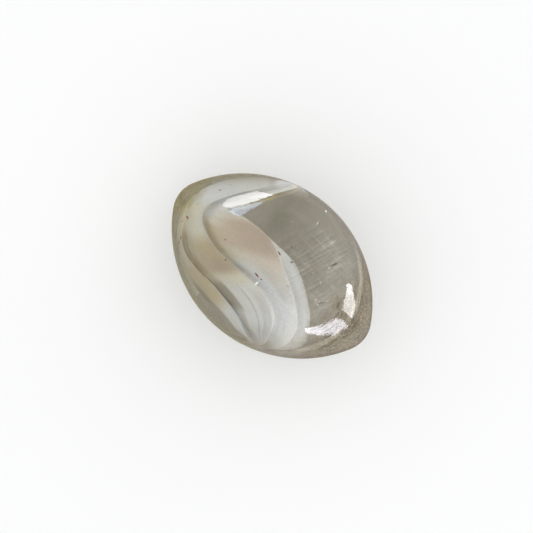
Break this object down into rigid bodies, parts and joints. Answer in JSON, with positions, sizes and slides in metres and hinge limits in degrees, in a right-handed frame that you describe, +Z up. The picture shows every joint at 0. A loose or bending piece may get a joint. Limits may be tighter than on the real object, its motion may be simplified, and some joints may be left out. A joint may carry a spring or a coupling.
{
  "type": "glass marble",
  "caption": "Football-shaped marble of clear, faintly grey glass with a folded white swirl inside it, lying on its side.",
  "frame": {"origin": "centre of the marble, midway between its tips and on its long axis", "axes": "+X along the long axis, towards the clear tip; +Z up through the side of the belly that shows the folds; +Y across"},
  "size_m": [0.032, 0.0224, 0.0224],
  "materials": {
    "clear_glass": "fire-polished, lightly scratched and scuffed at one tip",
    "opal_glass": "opaque white glass, folded while molten"
  },
  "bodies": {
    "root": {"clear_glass": "clear_glass", "white_swirl": "opal_glass"}
  },
  "joints": []
}
